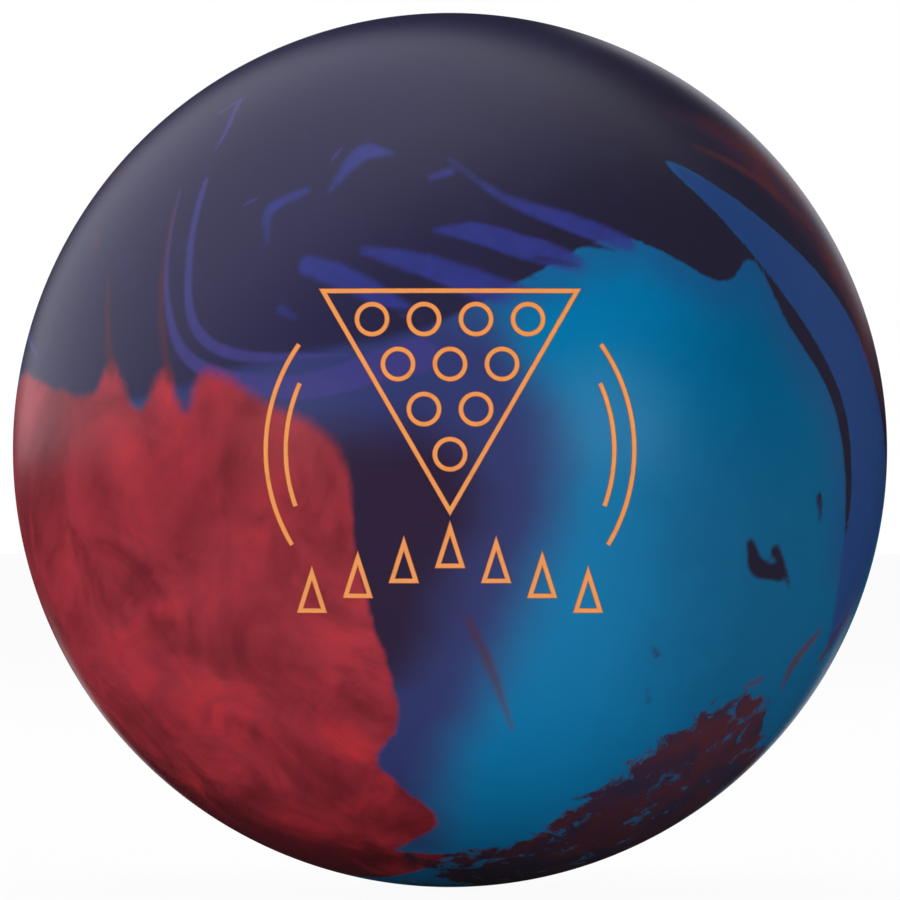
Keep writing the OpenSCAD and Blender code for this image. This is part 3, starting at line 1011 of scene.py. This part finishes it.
def wrap_tree(name, material, index_place=None, counts=()):
    """Puts flat drawings on the ball, copied to the places that index_place works out from an index."""
    tree = Geometry(name)
    radius = tree.size("Ball radius", BALL_R)
    shape = tree.given("Geometry")
    if index_place:
        total = tree.size("Count", counts)
        index = tree.node("GeometryNodeInputIndex")
        points = tree.node("GeometryNodePoints", {"Count": total, "Position": index_place(tree, index)})
        shape = tree.node("GeometryNodeInstanceOnPoints", {"Points": points, "Instance": shape})
        shape = tree.node("GeometryNodeRealizeInstances", shape)
    here = tree.node("GeometryNodeInputPosition")
    split = tree.node("ShaderNodeSeparateXYZ", here).socket.node.outputs
    x, deep, z = (Value(tree, split[i]) for i in range(3))
    level = radius - deep
    front = -tree.math("SQRT", level * level - x * x - z * z)
    shape = tree.node("GeometryNodeSetPosition", {"Geometry": shape, "Position": tree.vector(x, front, z)})
    tree.finish(shape, material)
    return tree


def spot_place(emblem):
    row_step, head, _, _, _ = deck_numbers(emblem)

    def place(tree, index):
        pitch = tree.size("Pitch", emblem.spot_pitch)
        root = tree.math("SQRT", index * 8 + 1.0)
        row = tree.math("FLOOR", (root - 1.0) / 2 + 1e-4)
        seat = index - row * (row + 1.0) / 2
        return tree.vector((seat - row / 2) * pitch, 0.0, row * row_step + head)

    return place


def arrow_place(emblem):
    _, _, bottom, _, _ = deck_numbers(emblem)

    def place(tree, index):
        pitch = tree.size("Pitch", emblem.arrow_pitch)
        drop = tree.size("Drop", emblem.arrow_drop)
        step = index - (ARROW_COUNT - 1) / 2
        height = (bottom - emblem.arrow_gap) - tree.math("ABSOLUTE", step) * drop
        return tree.vector(step * pitch, 0.0, height)

    return place


def emblem_shapes(emblem, cutter, material):
    """The emblem's five groups of lines, as enamel or as groove cutters, keyed by CAD node."""
    section = line_section(emblem, cutter)
    tag = "_cutter" if cutter else ""
    middle = emblem.spot_width / 2 - emblem.line_width / 2
    _, _, bottom, top, half = deck_numbers(emblem)
    tall, wide = emblem.arrow_height, emblem.arrow_height * 0.32

    spots = ring_band("pin_spot_enamel" + tag, middle, section)
    wrap_tree("Pin spots" + tag, material, spot_place(emblem), SPOT_ROWS * (SPOT_ROWS + 1) // 2).apply(spots)
    arrows = corner_band("lane_arrow_enamel" + tag, [(0, 0), (wide, -tall), (-wide, -tall)], section, 5)
    wrap_tree("Lane arrows" + tag, material, arrow_place(emblem), ARROW_COUNT).apply(arrows)
    deck = corner_band("deck_frame_enamel" + tag, [(0, bottom), (half, top), (-half, top)], section, 28)
    wrap_tree("Deck frame" + tag, material).apply(deck)
    shapes = {"emblem_pin_spots": spots, "emblem_lane_arrows": arrows, "emblem_deck_frame": deck}
    for side, middle_angle in (("left", 180 - ARC_TILT), ("right", ARC_TILT)):
        outer, inner = emblem.arc_radius, emblem.arc_radius - ARC_STEP * emblem.line_width
        arcs = [
            arc_band(f"{side}_arc", r, middle_angle - reach, middle_angle + reach, section)
            for r, reach in ((outer, ARC_HALF), (inner, ARC_INNER_HALF))
        ]
        joined = join(f"{side}_arcs_enamel{tag}", arcs)
        wrap_tree(f"{side} arcs{tag}", material).apply(joined)
        shapes[f"emblem_{side}_arcs"] = joined
    return shapes


def join(name, pieces):
    """One piece from several, attributes kept."""
    bpy.ops.object.select_all(action="DESELECT")
    for piece in pieces:
        piece.select_set(True)
    bpy.context.view_layer.objects.active = pieces[0]
    bpy.ops.object.join()
    pieces[0].name = name
    return pieces[0]


class BALL_OT_cover(bpy.types.Operator):
    """The cast cover: a fine shell with its drilled holes, engraving and swirl"""

    bl_idname = "ball.cover"
    bl_label = "Cover"

    def execute(self, context):
        scene = context.scene
        cover, emblem, grip = scene.ball_cover, scene.ball_emblem, scene.ball_grip
        divisions = cover.divisions
        piece = graded_sphere("cover", BALL_R, divisions, cover.grading)
        hollow = graded_sphere("hollow_cutter", FILLER_R, 24, 1.0)
        cutters = [hollow]
        softened, glue_gap, past_lining = 0.12 * MM, 0.1 * MM, 50 * MM
        for number, (node, hole) in enumerate(HOLE_LININGS):
            radius = radial_reach(node, hole) + glue_gap
            name = f"hole_cutter_{number}"
            cutters.append(drill(name, hole, radius, past_lining, softened, grip.segments))
        for node in ("locator_pin", "mass_bias_plug", "balance_dot"):
            hole = Hole((0, 0, 0), middle_direction(node))
            depth = min(depth_reach(node, hole), 30 * MM)
            cutters.append(drill(node + "_cutter", hole, radial_reach(node, hole), depth, 0.03 * MM, 64))
        cutters += emblem_shapes(emblem, True, None).values()
        cut(piece, cutters)
        directions = vertex_array(piece.data)
        directions /= np.linalg.norm(directions, axis=1)[:, None]
        for name, field in swirl_fields(directions).items():
            attribute = piece.data.attributes.new(name, "FLOAT", "POINT")
            attribute.data.foreach_set("value", field.astype(np.float32))
        radial_normals(piece.data)
        paint(piece, cover_material(cover))
        place_piece(piece, "ball", "cover_resin", "coverstock")
        return {"FINISHED"}


HOLE_LININGS = [
    ("middle_finger_insert", MIDDLE_HOLE),
    ("ring_finger_insert", RING_HOLE),
    ("thumb_outer_sleeve", THUMB_HOLE),
]


class BALL_OT_emblem(bpy.types.Operator):
    """The enamel in the engraving: pin spots, lane arrows, deck frame and side arcs"""

    bl_idname = "ball.emblem"
    bl_label = "Emblem enamel"

    def execute(self, context):
        emblem = context.scene.ball_emblem
        material = enamel_material(emblem)
        for node, piece in emblem_shapes(emblem, False, material).items():
            shade_smooth(piece.data, 50)
            place_piece(piece, "ball", "emblem_fill", node)
        return {"FINISHED"}


class BALL_OT_finger_inserts(bpy.types.Operator):
    """Soft inserts with rounded mouths and moulded ribs"""

    bl_idname = "ball.finger_inserts"
    bl_label = "Finger inserts"

    def execute(self, context):
        grip = context.scene.ball_grip
        material = moulded_material("insert_vinyl", grip.insert, srgb(88, 70, 130), 0.42, 900, 0.00006)
        for finger, hole in (("middle", MIDDLE_HOLE), ("ring", RING_HOLE)):
            node = f"{finger}_finger_insert"
            bore = bore_radius(f"{finger}_finger_bore")
            outer = radial_reach(node, hole)
            end = depth_reach(node, hole)
            lead = 1.4 * MM
            rim, foot = 0.25 * MM, 1.0 * MM
            profile = [
                (outer, -end, False, False), (outer, -rim, True, False), (outer - rim, 0.0, True, False),
                (bore + lead, 0.0, True, True), (bore, -1.6 * lead, True, True),
                (bore, -end + foot, False, False), (bore + foot, -end, False, False),
            ]
            piece = turned(f"{finger}_insert", hole, rounded(profile, 0.7 * MM), grip.segments)
            ribs = self.ribs(finger, hole, bore, grip, material)
            paint(piece, material)
            piece = join(piece.name, [piece, ribs])
            place_piece(piece, "ball", "insert_rubber", node)
        return {"FINISHED"}

    @staticmethod
    def ribs(finger, hole, bore, grip, material):
        """Rounded ribs around the bore, standing a little into its wall."""
        steps = 7
        angle = np.linspace(-math.pi / 2, math.pi / 2, steps)
        across = np.sin(angle) * grip.rib_width / 2
        rise = np.cos(angle) * grip.rib_height
        rings = []
        half = grip.rib_length / 2
        taper = ((0.0, 0.0), (MM, 0.8), (2 * MM, 1.0))
        places = [(-half + inward, share) for inward, share in taper]
        places += [(half - inward, share) for inward, share in reversed(taper)]
        for place, share in places:
            section = np.column_stack([-rise * share, across * (0.3 + 0.7 * share), np.full(steps, place)])
            under = np.array([[0.4 * MM, grip.rib_width / 2, place], [0.4 * MM, -grip.rib_width / 2, place]])
            rings.append(np.vstack([section, under]))
        size = steps + 2
        faces = rings_to_faces(len(rings), size)
        faces += [tuple(range(size)), tuple(range(len(rings) * size - 1, (len(rings) - 1) * size - 1, -1))]
        rib = recalculate(new_object(f"{finger}_ribs", np.vstack(rings), faces))
        tree = Geometry(f"{finger} insert ribs")
        total = tree.size("Count", grip.rib_count)
        radius = tree.size("Bore radius", bore)
        depth = tree.size("Middle depth", half + 6 * MM)
        circle = tree.node("GeometryNodeMeshCircle", {"Vertices": total, "Radius": radius})
        index = tree.node("GeometryNodeInputIndex")
        turn = tree.vector(0.0, 0.0, index * (2 * math.pi) / total)
        turn = tree.node("FunctionNodeEulerToRotation", turn)
        copies = {"Points": circle, "Instance": tree.given("Geometry"), "Rotation": turn}
        shape = tree.node("GeometryNodeInstanceOnPoints", copies)
        down = tree.vector(0.0, 0.0, -depth)
        shape = tree.node("GeometryNodeTransform", {"Geometry": shape, "Translation": down})
        tree.finish(shape, material)
        tree.apply(rib)
        points = vertex_array(rib.data)
        moved = hole.mouth + points @ np.array([hole.across, hole.along, hole.out])
        rib.data.vertices.foreach_set("co", moved.astype(np.float32).ravel())
        rib.data.update()
        shade_smooth(rib.data, 60)
        return rib


class BALL_OT_thumb_slug(bpy.types.Operator):
    """The bored slug with its hand-rounded mouth"""

    bl_idname = "ball.thumb_slug"
    bl_label = "Thumb slug"

    def execute(self, context):
        grip = context.scene.ball_grip
        bore = bore_radius("thumb_bore")
        outer = radial_reach("thumb_slug", THUMB_HOLE)
        end = depth_reach("thumb_slug", THUMB_HOLE)
        floor = end - 3 * MM
        lead = 1.8 * MM
        rim = 0.25 * MM
        profile = [
            (0.0, -end, False, False), (outer, -end, False, False), (outer, -rim, True, False),
            (outer - rim, 0.0, True, False), (bore + lead, 0.0, True, True), (bore, -1.5 * lead, True, True),
            (bore, -floor, False, False), (bore * 0.3, -floor, False, False),
            (0.0, -floor - MM, False, False),
        ]
        softened = rounded(profile[1:-1], 1.1 * MM, 7)
        piece = bored_plug(
            "thumb_slug_piece", THUMB_HOLE, [profile[0][:3], *softened, profile[-1][:3]], grip.segments
        )
        shader = Shader("slug_urethane")
        flow = shader.noise(38, detail=5.0, roughness=0.5, distortion=2.2)
        grain = shader.noise(1400, detail=2.0)
        shade = shader.mix(shader.step(flow, 0.42, 0.66), grip.slug, grip.slug_swirl)
        paint(piece, shader.set(
            Base_Color=shade, Roughness=0.3 + 0.12 * flow, Coat_Weight=0.2,
            Normal=shader.bump(grain, 0.2, 0.00003),
        ))
        place_piece(piece, "thumb_sleeve", "slug_urethane", "thumb_slug")
        return {"FINISHED"}


class BALL_OT_markers(bpy.types.Operator):
    """The locator pin's face, the mass bias plug and the balance dot, polished flush with the cover"""

    bl_idname = "ball.markers"
    bl_label = "Markers"

    def execute(self, context):
        looks = [
            ("locator_pin", "pin_resin", srgb(206, 78, 44), srgb(150, 44, 30)),
            ("mass_bias_plug", "bias_resin", srgb(224, 172, 66), srgb(172, 118, 34)),
            ("balance_dot", "dot_paint", srgb(236, 232, 222), srgb(200, 194, 180)),
        ]
        for node, slot, shade, fleck in looks:
            hole = Hole((0, 0, 0), middle_direction(node))
            radius = radial_reach(node, hole)
            depth = depth_reach(node, hole)
            profile = [(0.0, -depth, False), (radius, -depth, False), (radius, -0.05 * MM, True)]
            profile += [(radius * share, 0.0, True) for share in (0.995, 0.8, 0.6, 0.4, 0.2)]
            piece = bored_plug(node + "_face", hole, [*profile, (0.0, 0.0, True)], 64, 30)
            paint(piece, moulded_material(slot, shade, fleck, 0.26, 1200, 0.00002))
            place_piece(piece, "ball", slot, node)
        return {"FINISHED"}


class BALL_OT_fittings(bpy.types.Operator):
    """Finishes for the thumb fitting's sleeve, cap, lock ring and carrier"""

    bl_idname = "ball.fittings"
    bl_label = "Thumb fittings"

    def execute(self, context):
        turned_looks = [
            ("thumb_outer_sleeve", "sleeve_plastic", srgb(30, 31, 35), 0.0006, 0.35),
            ("thumb_carrier", "carrier_plastic", srgb(140, 146, 154), 0.0005, 0.32),
            ("thumb_lock_ring", "lock_ring_plastic", srgb(216, 210, 192), 0.0004, 0.4),
        ]
        for node, name, shade, pitch, roughness in turned_looks:
            paint_node(node, turned_material(name, shade, THUMB_HOLE, pitch, roughness))
        cap = moulded_material("cap_plastic", srgb(40, 42, 46), srgb(62, 64, 70), 0.5, 700, 0.0001)
        paint_node("thumb_sleeve_cap", cap)
        return {"FINISHED"}


class BALL_OT_inside(bpy.types.Operator):
    """Finishes for the filler, the weight block, its heart and the core pin"""

    bl_idname = "ball.inside"
    bl_label = "Inside"

    def execute(self, context):
        looks = [
            ("outer_core", srgb(201, 191, 164), srgb(168, 156, 128), 0.62, 500, 0.0002),
            ("weight_block", srgb(178, 58, 46), srgb(134, 36, 30), 0.48, 420, 0.00015),
            ("weight_block_heart", srgb(93, 97, 103), srgb(52, 55, 60), 0.55, 650, 0.00015),
            ("core_pin", srgb(232, 226, 208), srgb(204, 196, 172), 0.5, 600, 0.0001),
        ]
        for node, shade, fleck, roughness, scale, bump_depth in looks:
            resin = moulded_material(node + "_resin", shade, fleck, roughness, scale, bump_depth, 0.5)
            paint_node(node, resin)
        return {"FINISHED"}


class BALL_OT_stage(bpy.types.Operator):
    """Floor, lamps, plain white surroundings and the camera"""

    bl_idname = "ball.stage"
    bl_label = "Stage"

    def execute(self, context):
        stage = context.scene.ball_stage
        self.floor(stage)
        self.world(context.scene)
        self.lamps()
        self.camera(context.scene, stage)
        context.scene.view_settings.view_transform = "Standard"
        return {"FINISHED"}

    @staticmethod
    def floor(stage):
        """White to the camera and, behind the ball, in reflections. It keeps the ball's shadow."""
        half = stage.floor_size / 2
        sides = ((-half, -half), (half, -half), (half, half), (-half, half))
        corners = [(x, y, -BALL_R) for x, y in sides]
        floor = new_object("floor", corners, [(0, 1, 2, 3)])
        shader = Shader("floor")
        shader.set(Base_Color=(0.9, 0.9, 0.9), Roughness=0.8)
        seen, glossy = light_path(shader)
        x, y = shader.axis("X").math("ABSOLUTE"), shader.axis("Y")
        behind = shader.step(y, 0.12, 0.2) * (1.0 - shader.step(y, 0.4, 0.65))
        behind = behind * shader.step(x, 0.03, 0.09) * (1.0 - shader.step(x / y, 0.4, 0.6))
        glow = shader.node("Emission", {"Strength": seen + glossy * (0.01 + behind)})
        lit = Value(shader, shader.principled.outputs[0])
        mixed = shader.node("MixShader", seen * 0.95 + glossy, lit, glow)
        shader.feed(shader.tree.nodes["Material Output"].inputs["Surface"], mixed)
        paint(floor, shader.material)

    @staticmethod
    def world(scene):
        """White to the camera, and otherwise a dim room that is lighter above and to the left."""
        world = bpy.data.worlds.new("surroundings")
        world.use_nodes = True
        tree = Shading(world.node_tree, "ShaderNode")
        seen, _ = light_path(tree)
        split = tree.node("SeparateXYZ", tree.node("TexCoord", out=0)).socket.node.outputs
        x, back, up = (Value(tree, split[i]) for i in range(3))
        shade = tree.step(back + x * 0.45, 0.64, 0.88)
        tent = tree.step(up * 0.66 + (back - x) * 0.5, 0.2, 0.8) * (1.0 - shade)
        corner = (x * up).math("ABSOLUTE") / (x * x + up * up + 0.001)
        halo = tree.step(back, 0.9, 0.97) * tree.step(corner, 0.2, 0.42) * tree.step(x, -0.1, 0.05)
        room = 0.01 + tent * 0.62 + halo * 0.8
        background = world.node_tree.nodes["Background"]
        tree.feed(background.inputs["Color"], tree.mix(seen, (0.9, 0.9, 1.0), (1.0, 1.0, 1.0)))
        tree.feed(background.inputs["Strength"], seen + (1.0 - seen) * room)
        scene.world = world

    @staticmethod
    def lamps():
        """Soft lamps all around, out of reflections: (name, place, size, power)."""
        rows = [
            ("front_left", (-1.6, -1.8, 0.1), 1.5, 30.0),
            ("front_right", (1.6, -1.8, 0.1), 1.5, 30.0),
            ("back_left", (-1.6, 1.6, 0.6), 1.5, 20.0),
            ("back_right", (1.6, 1.6, 0.6), 1.5, 20.0),
            ("overhead", (0.0, 0.0, 2.0), 1.5, 16.0),
        ]
        for name, place, size, power in rows:
            lamp = bpy.data.lights.new(name, "AREA")
            lamp.shape = "DISK"
            lamp.size, lamp.energy = size, power
            holder = bpy.data.objects.new(name, lamp)
            holder.location = place
            holder.rotation_euler = (-Vector(place)).to_track_quat("-Z", "Y").to_euler()
            holder.visible_glossy = False
            bpy.context.scene.collection.objects.link(holder)

    @staticmethod
    def camera(scene, stage):
        limb = BALL_R / math.sqrt(stage.camera_distance**2 - BALL_R**2)
        data = bpy.data.cameras.new("camera")
        data.sensor_width = 36.0
        data.lens = data.sensor_width / 2 / (limb / stage.limb_share)
        data.clip_end = 50.0
        camera = bpy.data.objects.new("camera", data)
        camera.location = (0.0, -stage.camera_distance, 0.0)
        camera.rotation_euler = (math.pi / 2, 0.0, 0.0)
        scene.collection.objects.link(camera)
        scene.camera = camera


class BALL_PT_panel(bpy.types.Panel):
    """The ball's settings and the buttons that make its pieces"""

    bl_idname = "BALL_PT_panel"
    bl_label = "Bowling Ball"
    bl_space_type = "VIEW_3D"
    bl_region_type = "UI"
    bl_category = "Ball"

    def draw(self, context):
        for step in STEPS:
            self.layout.operator(step.bl_idname)
        for name, group in GROUPS.items():
            box = self.layout.box()
            box.label(text=group.__name__.removesuffix("Settings"))
            for prop in group.__annotations__:
                box.prop(getattr(context.scene, name), prop)


STEPS = [
    BALL_OT_stage, BALL_OT_cover, BALL_OT_emblem, BALL_OT_markers, BALL_OT_finger_inserts, BALL_OT_thumb_slug,
    BALL_OT_fittings, BALL_OT_inside,
]
GROUPS = {
    "ball_cover": CoverSettings,
    "ball_emblem": EmblemSettings,
    "ball_grip": GripSettings,
    "ball_stage": StageSettings,
}


def register():
    for kind in (*GROUPS.values(), *STEPS, BALL_PT_panel):
        bpy.utils.register_class(kind)
    for name, group in GROUPS.items():
        setattr(bpy.types.Scene, name, bpy.props.PointerProperty(type=group))


def unregister():
    for name in GROUPS:
        delattr(bpy.types.Scene, name)
    for kind in reversed((*GROUPS.values(), *STEPS, BALL_PT_panel)):
        bpy.utils.unregister_class(kind)


def main():
    register()
    for step in STEPS:
        group, name = step.bl_idname.split(".")
        getattr(getattr(bpy.ops, group), name)()


if __name__ == "__main__":
    main()
